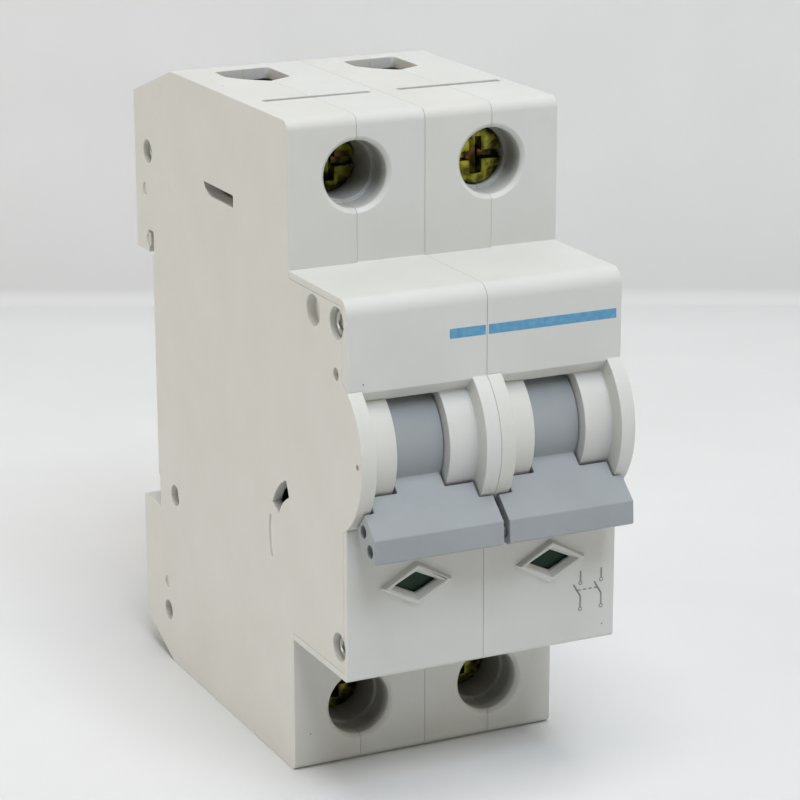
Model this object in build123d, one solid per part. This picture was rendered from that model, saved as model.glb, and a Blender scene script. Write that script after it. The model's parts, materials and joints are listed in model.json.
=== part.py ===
from build123d import *
import os
from math import asin, cos, degrees, radians, sin

# Two-pole miniature circuit breaker for a 35 mm rail.
# Millimetres. X is the width, -Y is the front, Z is up.
# The origin is the middle of the rail seat: y = 0 is the face that rests on the rail.
# Sections are drawn in (y, z) and carried along X. Each pole is drawn about its own
# middle plane, x = 0, and moved to its place at the end.

os.makedirs("parts", exist_ok=True)

# ---------------------------------------------------------------- driving dimensions
POLE_PITCH = 17.5            # one module of rail width
POLE_WIDTH = 17.46
SIDE_WALL = 1.3
NOSE_WALL = 1.85             # side wall of the nose, and thickness of its round ears
HALF = POLE_WIDTH / 2
POLES = {1: -POLE_PITCH / 2, 2: POLE_PITCH / 2}

TOP_Z, BOTTOM_Z = 39.8, -40.0
SHOULDER_Y = -44.0           # front of the terminal blocks, 44 mm from the rail
NOSE_Y = -60.0               # front of the nose, 60 mm from the rail
NOSE_TOP, NOSE_BOTTOM = 22.4, -23.0
LOWER_PANEL_Y = -59.5
PANEL_WALL = 1.1
REAR_Y = 5.5                 # back of the two feet
RAIL_LIP = 1.3               # depth of the grooves that take the rail's edges
RAIL_HALF = 17.8
SEAT_LOW, SEAT_HIGH = -15.0, 14.7
SEAT_RELIEF = 0.4            # the grooves lie this far in front of the seat's face

HUB_Y, HUB_Z = -53.6, 3.9    # axis of the switch handle
EAR_R, RING_R, HUB_R = 10.2, 8.0, 6.6
HUB_GAP = 0.6                # open gap between the hub and the wall round it
RING_X = 3.3                 # inner face of the bearing discs
EAR_X = HALF - NOSE_WALL     # inner face of the ears
RECESS_TOP, RECESS_BOTTOM = 11.6, -3.9
TRUNNION_R = 2.0
RUNNING = 0.05               # radial clearance of a running fit

HANDLE_REST = 40.0           # handle below level when off, and above level when on
HANDLE_TRAVEL = 2 * HANDLE_REST
CRANK_R = 3.2                # link pin from the handle axis
ARM_Y, ARM_Z = -36.5, -1.0   # pivot of the contact arm
ARM_BACK, ARM_REACH = 8.0, 13.0
ARM_SWING = 2 * degrees(asin(CRANK_R * sin(radians(HANDLE_REST)) / ARM_BACK))
WIRE_R = 0.6
PIVOT_R = 1.2

TRIP_Y, TRIP_Z = -45.7, -11.3
TRIP_BAR_R, TRIP_BAR_ARM, TRIP_BAR_ANGLE = 0.9, 7.5, 40.0

SCREW_Z = 32.75              # terminal screw axis above and below the middle
TUNNEL_R, TUNNEL_STEP_R, MOUTH_R = 4.0, 3.6, 4.5
TUNNEL_STEP_Y = -40.2
POCKET_FRONT, POCKET_BACK, POCKET_HALF = -33.6, -7.8, 6.6
POCKET_LOW, POCKET_HIGH = 26.1, 38.3
HEAD_R, HEAD_T, SHANK_R, SHANK_L = 3.4, 2.4, 2.4, 12.0
HEAD_FACE = {1: -36.0, 2: -39.8}   # the second pole's top screw is left further out

COIL_Z, COIL_R = 14.0, 5.4
COIL_TURNS, COIL_WIRE = 6, 2.0
WINDOW_Z, WINDOW_W, WINDOW_H = -12.0, 2.74, 1.3
RIM_PROUD = 0.7
TIE_PIN_R = 0.7
TIE_PINS = ((11.5, -0.5), (14.0, -0.8))   # (along the handle, across it)
RIVET_R = 0.9
# (y, z, counterbore radius) of the rivets through both housings
RIVETS = ((-57.2, 19.3, 1.85), (-57.2, -19.3, 1.7), (1.0, 28.1, 1.5),
          (-5.75, -16.3, 1.4), (-2.4, -33.2, 1.3))
COUNTERBORE = 1.2
EJECTOR_MARKS = ((2.2, 23.0), (1.3, 16.5), (-2.2, -29.3))   # (y, z) on the lid


# ---------------------------------------------------------------- drawing helpers
def along_x(section, x_from, x_to):
    """A (y, z) section carried from one X to another."""
    return extrude(Plane.YZ.offset(x_from) * section, amount=x_to - x_from)


def along_y(section, y_from, y_to):
    """An (x, z) section carried from front to back."""
    return extrude(Plane.XZ.offset(-y_to) * section, amount=y_to - y_from)


def along_z(section, z_from, z_to):
    """An (x, y) section carried upwards."""
    return extrude(Plane.XY.offset(z_from) * section, amount=z_to - z_from)


def outline(*points):
    """A closed section through the given corners."""
    return make_face(Polyline(*points, close=True))


def disc(a, b, radius):
    return Pos(a, b) * Circle(radius)


def block(x, y, z):
    """A box given by its three spans."""
    size = (x[1] - x[0], y[1] - y[0], z[1] - z[0])
    middle = (sum(x) / 2, sum(y) / 2, sum(z) / 2)
    return Pos(*middle) * Box(*size)


def strip(points, thickness):
    """A strip of sheet bent through the given (y, z) points, as a section."""
    return trace(Polyline(*points), thickness)


def rounded_corner(section, y, z, radius):
    """The section with its corner nearest to (y, z) rounded."""
    corner = section.vertices().sort_by_distance((y, z, 0))[0]
    return fillet(corner, radius)


def polar(y, z, radius, angle):
    """The (y, z) point at a radius and an angle from +Y towards +Z."""
    return (y + radius * cos(radians(angle)), z + radius * sin(radians(angle)))


def arm_point(along, across, angle):
    """A point given along and across the contact arm at an angle of the arm."""
    y, z = polar(ARM_Y, ARM_Z, along, angle)
    return polar(y, z, across, angle + 90)


def handle_point(along, across):
    """A point given along and across the handle, in the off position."""
    y, z = polar(HUB_Y, HUB_Z, along, 180 + HANDLE_REST)
    return polar(y, z, across, 90 + HANDLE_REST)


ARM_OFF, ARM_ON = -ARM_SWING / 2, ARM_SWING / 2
CRANK = polar(HUB_Y, HUB_Z, CRANK_R, HANDLE_REST)
LINK_END = polar(ARM_Y, ARM_Z, ARM_BACK, 180 + ARM_OFF)
TRIP_BAR = polar(TRIP_Y, TRIP_Z, TRIP_BAR_ARM, TRIP_BAR_ANGLE)


# ---------------------------------------------------------------- housing
def housing_outline():
    """Side view of one pole."""
    section = outline(
        (REAR_Y, 35.4), (-7.8, TOP_Z), (SHOULDER_Y, TOP_Z), (SHOULDER_Y, NOSE_TOP),
        (NOSE_Y, NOSE_TOP), (NOSE_Y, RECESS_TOP), (LOWER_PANEL_Y, RECESS_BOTTOM),
        (LOWER_PANEL_Y, NOSE_BOTTOM), (SHOULDER_Y, NOSE_BOTTOM), (SHOULDER_Y, BOTTOM_Z),
        (-3.6, BOTTOM_Z), (REAR_Y, -36.0), (REAR_Y, -19.2), (-SEAT_RELIEF, -19.2),
        (-SEAT_RELIEF, SEAT_LOW), (0, SEAT_LOW), (0, SEAT_HIGH), (-SEAT_RELIEF, SEAT_HIGH),
        (-SEAT_RELIEF, RAIL_HALF), (RAIL_LIP, RAIL_HALF), (RAIL_LIP, 14.8), (REAR_Y, 14.8))
    section = rounded_corner(section, SHOULDER_Y, TOP_Z, 1.3)
    section = rounded_corner(section, SHOULDER_Y, BOTTOM_Z, 1.0)
    section = rounded_corner(section, NOSE_Y, NOSE_TOP, 1.9)
    return rounded_corner(section, LOWER_PANEL_Y, NOSE_BOTTOM, 0.6)


def handle_recess():
    """Room between the ears for the discs and the hub, under a sloping upper lip."""
    lip_y, lip_z = NOSE_Y + 1.6, RECESS_TOP - 1.5
    side = outline((-66, RECESS_TOP), (NOSE_Y, RECESS_TOP), (lip_y, lip_z), (HUB_Y, lip_z),
                   (HUB_Y, RECESS_BOTTOM), (-66, RECESS_BOTTOM))
    hub = along_x(disc(HUB_Y, HUB_Z, HUB_R + HUB_GAP), -RING_X, RING_X)
    return along_x(side, -EAR_X, EAR_X) + hub


def bearing_discs():
    """The two round discs beside the hub, with the bores for its trunnions."""
    ring = disc(HUB_Y, HUB_Z, RING_R)
    return along_x(ring, -EAR_X, -RING_X) + along_x(ring, RING_X, EAR_X)


def wire_entry(spans):
    """Shield-shaped hole in the end wall, where a wire goes in."""
    section = outline((-4.05, -10.6), (3.45, -10.1), (3.35, -17.5), (-0.15, -19.4),
                      (-2.75, -16.9), (-4.05, -14.7))
    section = fillet(section.vertices(), 0.6)
    return along_z(section, *spans)


def terminal_space(up):
    """Screw tunnel, clamp pocket, wire entry and bus bar slot of one terminal."""
    z = up * SCREW_Z
    tunnel = along_y(disc(0, z, TUNNEL_R), SHOULDER_Y - 1, TUNNEL_STEP_Y)
    tunnel += along_y(disc(0, z, TUNNEL_STEP_R), TUNNEL_STEP_Y, POCKET_FRONT)
    mouth = Pos(0, SHOULDER_Y + 0.25, z) * Rot(90, 0, 0) * Cone(TUNNEL_R, MOUTH_R, 0.5)
    spans = sorted((up * POCKET_LOW, up * POCKET_HIGH))
    pocket = block((-POCKET_HALF, POCKET_HALF), (POCKET_FRONT, POCKET_BACK), spans)
    out = sorted((up * (POCKET_HIGH - 1), up * 42))
    entry = wire_entry(out)
    comb_slot = block((-6.2, 7.6), (-31.9, -30.6), out)
    bar_slot = block((-4.3, 4.3), (-21.75, -19.75), sorted((up * 23.5, up * POCKET_LOW)))
    return tunnel + mouth + pocket + entry + comb_slot + bar_slot


def mechanism_space():
    """Hollows of the housing between the two terminals."""
    wide = HALF - SIDE_WALL
    main = block((-wide, wide), (-43.0, -2.0), (-24.0, 24.0))
    main -= along_x(disc(-5.75, -16.3, 2.1), -wide, wide)
    main -= block((-wide, wide), (-5.75, 0), (-18.4, -14.2))
    neck = block((-6.4, 6.4), (-47.0, -42.9), (-17.2, 16.6))
    flag_room = block((-6.4, 6.4), (LOWER_PANEL_Y + PANEL_WALL, -46.9), (-17.2, -5.0))
    flag_room += block((-3.9, 3.9), (LOWER_PANEL_Y + 0.55, -58.0), (-17.2, -6.9))
    upper_room = block((-6.4, 6.4), (NOSE_Y + 1.5, -46.9), (12.9, 16.6))
    link_room = block((0.5, 2.3), (-50.5, -46.9), (-2.6, 1.5))
    return main + neck + flag_room + upper_room + link_room


def clip_channel():
    """Guide for the rail clip in the lower foot."""
    return block((-5.1, 5.1), (RAIL_LIP, 4.5), (-42, -18))


def trip_slot():
    """Curved slot round the trip pivot, open on both sides for an accessory's pin."""
    return along_x(arc_band(TRIP_BAR_ARM, 2.1, 28, 67), -HALF - 1, HALF + 1)


def arc_band(radius, width, first, last):
    """Part of a ring about the trip pivot, between two angles."""
    ring = disc(TRIP_Y, TRIP_Z, radius + width / 2) - disc(TRIP_Y, TRIP_Z, radius - width / 2)
    ends = [polar(TRIP_Y, TRIP_Z, 30, angle) for angle in (first, last)]
    return ring & outline((TRIP_Y, TRIP_Z), *ends)


def side_features():
    """Holes in the side walls: rivets, pins and moulded recesses."""
    cuts = [trip_slot()]
    for y, z, radius in RIVETS:
        cuts.append(along_x(disc(y, z, RIVET_R + RUNNING), -HALF - 1, HALF + 1))
        for side in (-1, 1):
            span = sorted((side * (HALF - COUNTERBORE), side * (HALF + 1)))
            cuts.append(along_x(disc(y, z, radius), *span))
    cuts.append(along_x(disc(-50.8, 19.3, 1.85), -HALF - 1, -HALF + COUNTERBORE))
    cuts.append(along_x(disc(-56.9, 13.3, 0.75), -HALF - 1, -HALF + 0.8))
    mark_slot = outline((-27.5, 26.4), (-20.2, 26.4), (-18.7, 27.0), (-18.1, 27.9), (-27.5, 27.9))
    cuts.append(along_x(mark_slot, -HALF - 1, -6.5))
    cuts.append(along_x(arc_band(8.4, 0.6, -21, 15), -HALF - 1, -HALF + 0.25))
    for side in (-1, 1):
        span = sorted((side * (HALF - 0.6), side * (HALF + 1)))
        cuts.append(along_x(disc(-62.5, HUB_Z, 0.35), *span))
    for y, z in EJECTOR_MARKS:
        cuts.append(along_x(disc(y, z, 0.8), -HALF - 1, -HALF + 0.3))
    cuts.append(along_x(disc(ARM_Y, ARM_Z, PIVOT_R + RUNNING), -HALF + 0.5, HALF - 0.5))
    cuts.append(along_x(disc(TRIP_Y, TRIP_Z, PIVOT_R + RUNNING), 0, HALF - 0.5))
    return cuts


def pivot_bosses():
    """Posts that hold the pivot pins: two for the arm's, one for the trip lever's."""
    low, high = 6.0, HALF - 0.4
    arm_posts = along_x(disc(ARM_Y, ARM_Z, 2.2), low, high)
    arm_posts += along_x(disc(ARM_Y, ARM_Z, 2.2), -high, -low)
    return arm_posts + along_x(disc(TRIP_Y, TRIP_Z, 2.2), low, high)


def window_rim():
    """Raised diamond round the flag window, with sloping sides."""
    foot = Plane.XZ.offset(-LOWER_PANEL_Y - 0.01) * diamond(4.65, 2.7)
    crest = Plane.XZ.offset(-LOWER_PANEL_Y + RIM_PROUD) * diamond(4.25, 2.4)
    return loft([foot, crest])


def window_opening():
    """Funnel through the rim, and the window at its bottom."""
    mouth = Plane.XZ.offset(-LOWER_PANEL_Y + RIM_PROUD + 0.05) * diamond(3.75, 2.05)
    throat = Plane.XZ.offset(-LOWER_PANEL_Y - 0.1) * diamond(WINDOW_W, WINDOW_H)
    window = along_y(diamond(WINDOW_W, WINDOW_H), LOWER_PANEL_Y, LOWER_PANEL_Y + 1)
    return loft([throat, mouth]) + window


def diamond(half_width, half_height):
    return Pos(0, WINDOW_Z) * Polygon((half_width, 0), (0, half_height), (-half_width, 0),
                                      (0, -half_height), align=None)


def housing():
    """One pole's housing before it is parted into lid and base."""
    body = along_x(housing_outline(), -HALF, HALF)
    body -= handle_recess()
    body += bearing_discs()
    ear = disc(HUB_Y, HUB_Z, EAR_R)
    body += along_x(ear, -HALF, -EAR_X) + along_x(ear, EAR_X, HALF)
    body += window_rim()
    body -= mechanism_space()
    body += pivot_bosses()
    body -= terminal_space(1)
    body -= terminal_space(-1)
    body -= clip_channel()
    body -= along_x(disc(HUB_Y, HUB_Z, TRUNNION_R + RUNNING), -EAR_X, EAR_X)
    body -= window_opening()
    for cut in side_features():
        body -= cut
    return body


def lid_region():
    """The part of the housing that belongs to the lid."""
    region = block((-HALF - 1, 0), (SHOULDER_Y, REAR_Y + 1), (BOTTOM_Z - 1, TOP_Z + 1))
    region += block((-HALF - 1, -EAR_X), (LOWER_PANEL_Y + 0.9, SHOULDER_Y), (-22.1, 21.5))
    region += along_x(disc(HUB_Y, HUB_Z, EAR_R), -HALF - 1, -EAR_X)
    region += along_x(disc(HUB_Y, HUB_Z, RING_R), -EAR_X, -RING_X)
    support = block((-EAR_X, -RING_X), (HUB_Y, SHOULDER_Y), (HUB_Z - RING_R, RECESS_TOP))
    return region + support


# ---------------------------------------------------------------- switch handle
def toggle(inner_side):
    """Hub, trunnions, stem and paddle. inner_side is +1 where the other pole is at +X."""
    hub = along_x(disc(HUB_Y, HUB_Z, HUB_R), -RING_X + 0.1, RING_X - 0.1)
    axle = along_x(disc(HUB_Y, HUB_Z, TRUNNION_R), -EAR_X + 0.15, EAR_X - 0.15)
    profile = outline(*[handle_point(a, c) for a, c in (
        (4.0, 1.6), (10.4, 1.35), (14.0, 1.31), (15.87, -0.66), (15.53, -1.41),
        (14.2, -2.55), (12.0, -2.6), (10.4, -1.9), (8.3, -1.8), (4.0, -2.2))])
    wings = outline(*[handle_point(a, c) for a, c in (
        (8.3, 4), (10.4, 4), (10.4, -4), (8.3, -4))])
    paddle_area = outline(*[handle_point(a, c) for a, c in (
        (10.4, 4), (20, 4), (20, -4), (10.4, -4))])
    far, near = (-7.85, 8.4) if inner_side > 0 else (-8.4, 7.85)
    stem = along_x(profile, -3.0, 3.0)
    body = hub + axle + stem
    body += along_x(profile & wings, -EAR_X + 0.25, EAR_X - 0.25)
    body += along_x(profile & paddle_area, far, near)
    for along, across in TIE_PINS:
        y, z = handle_point(along, across)
        body -= along_x(disc(y, z, TIE_PIN_R + RUNNING), -9, 9)
    # room for the wire link at the back of the hub
    y, z = CRANK
    gap = Pos(0, y, z) * Rot(-4.0, 0, 0) * Pos(1.5, 4.0, 0) * Box(1.6, 10.4, 14)
    body -= gap
    body -= along_x(disc(y, z, WIRE_R + RUNNING), -2.4, 0.9)
    return body


def tie_pins():
    """The two pins through both handles."""
    return [along_x(disc(*handle_point(a, c), TIE_PIN_R), -14.5, 14.5) for a, c in TIE_PINS]


def toggle_link():
    """Wire link from the crank of the handle to the contact arm."""
    leg_x = 1.4
    y0, z0 = CRANK
    y1, z1 = LINK_END
    route = Polyline((-2.2, y0, z0), (leg_x, y0, z0), (leg_x, y1, z1), (-3.6, y1, z1))
    route = fillet(route.vertices().filter_by(lambda v: v.X > 0), 0.9)
    return sweep(Plane(origin=(-2.2, y0, z0), z_dir=(1, 0, 0)) * Circle(WIRE_R), path=route)


# ---------------------------------------------------------------- contact system
def contact_arm():
    """Lever with its slot for the link and its pivot bore, in the off position."""
    corners = ((-9.3, 1.3), (-6.0, 1.6), (0, 2.3), (3.5, 1.2), (14.2, 1.2), (14.2, -0.7),
               (12.8, -1.2), (3.5, -1.2), (0, -2.3), (-6.0, -1.6), (-9.3, -1.3))
    body = along_x(outline(*[arm_point(a, c, ARM_OFF) for a, c in corners]), -1.6, 0.5)
    body -= along_x(disc(ARM_Y, ARM_Z, PIVOT_R + RUNNING), -3, 3)
    slot_mid = (ARM_BACK + 6.75) / 2
    slot = SlotOverall(ARM_BACK - 6.75 + 1.5, 1.5)
    y, z = arm_point(-slot_mid, 0, ARM_OFF)
    return body - along_x(Pos(y, z) * Rot(0, 0, ARM_OFF) * slot, -3, 3)


def arm_tip():
    """Silver tip brazed on the arm."""
    corners = ((11.6, 1.2), (14.2, 1.2), (14.0, 2.2), (11.8, 2.2))
    return along_x(outline(*[arm_point(a, c, ARM_OFF) for a, c in corners]), -2.1, 1.0)


def fixed_contact():
    """Fixed contact strip over the closed arm, its riser to the coil, and its horn."""
    low, high = 3.3, 4.5
    bend_low = arm_point(15.5, low, ARM_ON)
    bend_high = arm_point(15.5, high, ARM_ON)
    front_low = arm_point(9.5, low, ARM_ON)
    front_high = arm_point(9.5, high, ARM_ON)
    riser_y = front_high[0]
    body = along_x(outline(front_low, bend_low, (-8.6, bend_low[1]), (-8.6, bend_high[1]),
                           bend_high, front_high), -3.0, 3.0)
    riser_top = COIL_Z - COIL_R - 0.05
    riser = outline(front_high, (riser_y, riser_top), (riser_y + 1.3, riser_top),
                    (riser_y + 1.3, front_high[1]))
    tip = outline(*[arm_point(a, c, ARM_ON) for a, c in (
        (11.6, low), (14.2, low), (14.0, low - 1.0), (11.8, low - 1.0))])
    return body + along_x(riser, -1.5, 1.5) + along_x(tip, -2.1, 1.5)


def arm_spring():
    """Torsion spring round the arm's pivot, drawn as touching turns with two legs."""
    turns = outline((1.35, -5.2), (1.35, -2.6), (2.3, -2.6), (2.3, -5.2))
    coil = revolve(Plane.XY * turns, axis=Axis.Y)
    coil = Pos(0, ARM_Y, ARM_Z) * Rot(0, 0, -90) * coil
    leg = block((-5.1, -4.4), (ARM_Y + 1.6, ARM_Y + 2.3), (ARM_Z - 9.5, ARM_Z))
    return coil + leg


def latch():
    """Latch plate beside the arm, on the same pivot."""
    body = disc(ARM_Y, ARM_Z, 2.6)
    nose = outline(*[arm_point(a, c, ARM_OFF) for a, c in (
        (-0.5, 2.4), (-4.6, 1.6), (-5.2, -0.4), (-4.2, -1.4), (-3.4, -0.2), (0, -2.0))])
    body = along_x(body + nose, 2.3, 3.4)
    return body - along_x(disc(ARM_Y, ARM_Z, PIVOT_R + RUNNING), 2, 4)


def trip_lever():
    """Lever struck by the plunger at its top and by the bimetal at its tail."""
    bar_y, bar_z = TRIP_BAR
    arm = strip(((TRIP_Y, TRIP_Z), (bar_y, bar_z), (-39.9, 4.0), (-38.2, 15.2)), 1.8)
    arm += disc(TRIP_Y, TRIP_Z, 2.2) + disc(bar_y, bar_z, 2.0)
    tail = outline((bar_y, bar_z - 1), (-34.9, -9.4), (-34.9, -7.6), (bar_y, bar_z + 1))
    body = along_x(arm, 3.8, 5.4) + along_x(tail, 3.8, 5.4)
    body += block((-2.0, 5.4), (-36.1, -34.9), (-9.4, -7.8))
    body += block((-1.6, 5.4), (-39.6, -38.0), (12.8, 15.2))
    body -= along_x(disc(TRIP_Y, TRIP_Z, PIVOT_R + RUNNING), 3, 6)
    return body - along_x(disc(bar_y, bar_z, TRIP_BAR_R), 3, 6)


def trip_bar():
    """Cross bar that joins the trip levers of both poles."""
    return along_x(disc(*TRIP_BAR, TRIP_BAR_R), -14.5, 14.5)


def pivot_pins():
    """Plain steel pins of the arms, and short ones of the trip levers, in both poles."""
    pins = []
    for x in POLES.values():
        pins.append(Pos(x, 0, 0) * along_x(disc(ARM_Y, ARM_Z, PIVOT_R), -8.0, 8.0))
        pins.append(Pos(x, 0, 0) * along_x(disc(TRIP_Y, TRIP_Z, PIVOT_R), 3.4, 8.0))
    return pins


# ---------------------------------------------------------------- magnetic release
def coil():
    """Winding of thick wire, drawn as its turns side by side, with its rear tail."""
    inner, valley, start = 3.3, COIL_R - 0.5, -30.4
    rim = [(inner, start)]
    for number in range(COIL_TURNS):
        near = start + COIL_WIRE * number
        rim += [(valley, near), (COIL_R, near + 0.5), (COIL_R, near + COIL_WIRE - 0.5)]
    end = start + COIL_WIRE * COIL_TURNS
    rim += [(valley, end), (inner, end)]
    winding = Pos(0, 0, COIL_Z) * revolve(Plane.XY * outline(*rim), axis=Axis.Y)
    return winding + block((-1.0, 1.0), (-20.0, -18.8), (COIL_Z + 4.8, 21.0))


def tube_y(outer, inner, y_from, y_to):
    return along_y(disc(0, COIL_Z, outer) - disc(0, COIL_Z, inner), y_from, y_to)


def coil_bobbin():
    """Plastic former of the winding."""
    body = tube_y(3.2, 2.45, -31.4, -17.5)
    return body + tube_y(4.6, 2.45, -31.4, -30.5) + tube_y(4.6, 2.45, -18.3, -17.5)


def coil_yoke():
    """Steel frame round the coil: two end plates and a side web."""
    front = block((-5.5, 6.9), (-32.7, -31.5), (8.9, 19.4))
    back = block((-5.5, 6.9), (-17.4, -16.2), (8.9, 19.4))
    web = block((5.8, 6.9), (-32.7, -16.2), (8.9, 19.4))
    return (front + back + web) - along_y(disc(0, COIL_Z, 1.0), -34, -30)


def plunger():
    """Sliding core with its striker pin and its counterbore for the spring."""
    core = along_y(disc(0, COIL_Z, 2.38), -26.6, -17.6)
    core -= along_y(disc(0, COIL_Z, 1.9), -27, -21.4)
    return core + along_y(disc(0, COIL_Z, 0.8), -35.7, -20.4)


def plunger_springs():
    """Return springs of both plungers, drawn as closed turns."""
    springs = []
    for x in POLES.values():
        tube = disc(x, COIL_Z, 1.7) - disc(x, COIL_Z, 1.1)
        springs.append(along_y(tube, -31.4, -24.3))
    return springs


# ---------------------------------------------------------------- thermal release
def bimetal():
    """Strip that bends towards the trip lever when it warms up."""
    return block((-3.0, 3.0), (-34.5, -33.5), (-22.6, -7.8))


def calibration_screws():
    """Set screws of both bimetals."""
    screws = []
    for x in POLES.values():
        shank = along_y(disc(x, -19.5, 1.0), -40.0, -34.6)
        head = along_y(disc(x, -19.5, 1.7), -41.2, -40.0)
        screws.append(shank + head - block((x - 2, x + 2), (-41.3, -40.7), (-19.75, -19.25)))
    return screws


def braid():
    """Flexible copper braid from the bimetal towards the arm."""
    route = FilletPolyline((-3.9, -33.3, -11.0), (-3.9, -31.4, -11.6), (-3.9, -29.8, -7.6),
                           (-3.9, -33.0, -4.2), radius=1.6)
    start = Plane(origin=route @ 0, z_dir=route % 0)
    return sweep(start * Circle(0.8), path=route)


# ---------------------------------------------------------------- arc chute
PLATE_COUNT, PLATE_PITCH, PLATE_T, PLATE_LOW = 11, 1.85, 0.8, -14.9


def arc_plates():
    """Steel splitter plates with a V notch at the front and a tab at each side."""
    plates = []
    half, tab = 5.8, 6.4
    plan = ((-half, -8.6), (-half, -13.4), (-tab, -13.4), (-tab, -16.6), (-half, -16.6),
            (-half, -21.4), (-2.6, -21.4), (0, -15.6), (2.6, -21.4), (half, -21.4),
            (half, -16.6), (tab, -16.6), (tab, -13.4), (half, -13.4), (half, -8.6))
    for number in range(PLATE_COUNT):
        z = PLATE_LOW + number * PLATE_PITCH
        plates.append(along_z(outline(*plan), z, z + PLATE_T))
    return plates


def chute_frame():
    """Two fibre side plates, slotted for the tabs of the splitter plates."""
    sides = []
    for side in (-1, 1):
        span = sorted((side * 5.85, side * 6.6))
        sheet = block(span, (-20.8, -9.0), (-16.2, 5.4))
        for number in range(PLATE_COUNT):
            z = PLATE_LOW + number * PLATE_PITCH
            sheet -= block((span[0] - 1, span[1] + 1), (-16.7, -13.3), (z - 0.05, z + PLATE_T + 0.05))
        sides.append(sheet)
    return sides


def lower_runner():
    """Lower arc horn, from under the open arm to the foot of the chute."""
    return along_x(strip(((-29.5, -8.0), (-26.0, -8.2), (-22.6, -17.1), (-8.6, -17.1)), 1.0),
                   -3.0, 3.0)


# ---------------------------------------------------------------- terminals
def terminal_screw(up, face_y):
    """Cheese-head screw with a cross and a slot, down to its plain end."""
    z = up * SCREW_Z
    head = along_y(disc(0, z, HEAD_R), face_y, face_y + HEAD_T)
    shank = along_y(disc(0, z, SHANK_R), face_y + HEAD_T, face_y + HEAD_T + SHANK_L)
    slot = block((-4, 4), (face_y - 1, face_y + 1.2), (z - 0.5, z + 0.5))
    cross = block((-0.75, 0.75), (face_y - 1, face_y + 1.6), (z - 2.2, z + 2.2))
    return head + shank - slot - cross


def terminal_clamp(up):
    """Box clamp: threaded front plate, two sides, and the back plate that lifts."""
    z = up * SCREW_Z
    rim = block((-5.6, 5.6), (-29.0, -8.6), (z - 4.8, z + 4.8))
    rim -= block((-4.6, 4.6), (-26.4, -10.2), (z - 6, z + 6))
    return rim - along_y(disc(0, z, SHANK_R + RUNNING), -30, -26)


def top_bus_plate():
    """Flat bar through the upper clamp, bent towards the coil."""
    bar = block((-4.2, 4.2), (-21.5, -20.0), (21.0, 37.4))
    return bar + block((-4.2, 4.2), (-21.5, -18.0), (21.0, 22.2))


def bottom_bus_plate():
    """Flat bar through the lower clamp, with the foot and the leg of the bimetal."""
    bar = block((-4.2, 4.2), (-21.5, -20.0), (-37.4, -22.6))
    foot = block((-3.2, 3.2), (-37.8, -20.0), (-23.8, -22.6))
    leg = block((-3.2, 3.2), (-37.8, -36.6), (-23.8, -17.4))
    return bar + foot + leg - along_y(disc(0, -19.5, 1.0 + RUNNING), -39, -36)


# ---------------------------------------------------------------- flag and rail clip
def flag():
    """Contact position flag behind the window, with its stem and its eye."""
    eye_y, eye_z = LINK_END
    face = block((-3.6, 3.6), (-58.85, -58.05), (-13.7, -7.2))
    stem = block((-3.4, -2.2), (-58.1, -43.0), (-8.8, -7.2))
    rise = block((-3.4, -2.2), (eye_y - 2.2, eye_y + 2.6), (-8.8, eye_z + 1.7))
    window = block((-4, -2), (eye_y - 0.8, eye_y + 1.6), (eye_z - 2.2, eye_z + 0.8))
    return face + stem + rise - window


def rail_clip():
    """Sliding clip that hooks behind the lower edge of the rail."""
    body = block((-5.0, 5.0), (1.4, 4.4), (-38.9, -15.2))
    nose_slope = along_x(outline((4.5, -16.6), (4.5, -15.0), (2.6, -15.0)), -6, 6)
    eye = block((-2.5, 2.5), (0, 6), (-37.6, -36.0))
    legs = block((-3.4, 3.4), (0, 6), (-33.0, -21.5)) - block((-1.2, 1.2), (0, 6), (-33.0, -21.5))
    return body - nose_slope - eye - legs


def rivets():
    """Rivets through both housings, with their heads in the counterbores."""
    shanks = []
    edge = POLE_PITCH / 2 + HALF - COUNTERBORE
    for y, z, radius in RIVETS:
        shank = along_x(disc(y, z, RIVET_R), -edge, edge)
        heads = along_x(disc(y, z, radius - 0.15), -edge - 0.5, -edge)
        heads += along_x(disc(y, z, radius - 0.15), edge, edge + 0.5)
        shanks.append(shank + heads)
    return shanks


# ---------------------------------------------------------------- write every node
def save(name, shape, x=0.0):
    """Write one node, moved to its pole."""
    solids = shape if isinstance(shape, list) else [shape]
    placed = [Pos(x, 0, 0) * solid for solid in solids]
    whole = placed[0] if len(placed) == 1 else Compound(children=placed)
    export_step(whole, f"parts/{name}.step")


shell = housing()
region = lid_region()
lid = shell & region
base = shell - region

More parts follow.
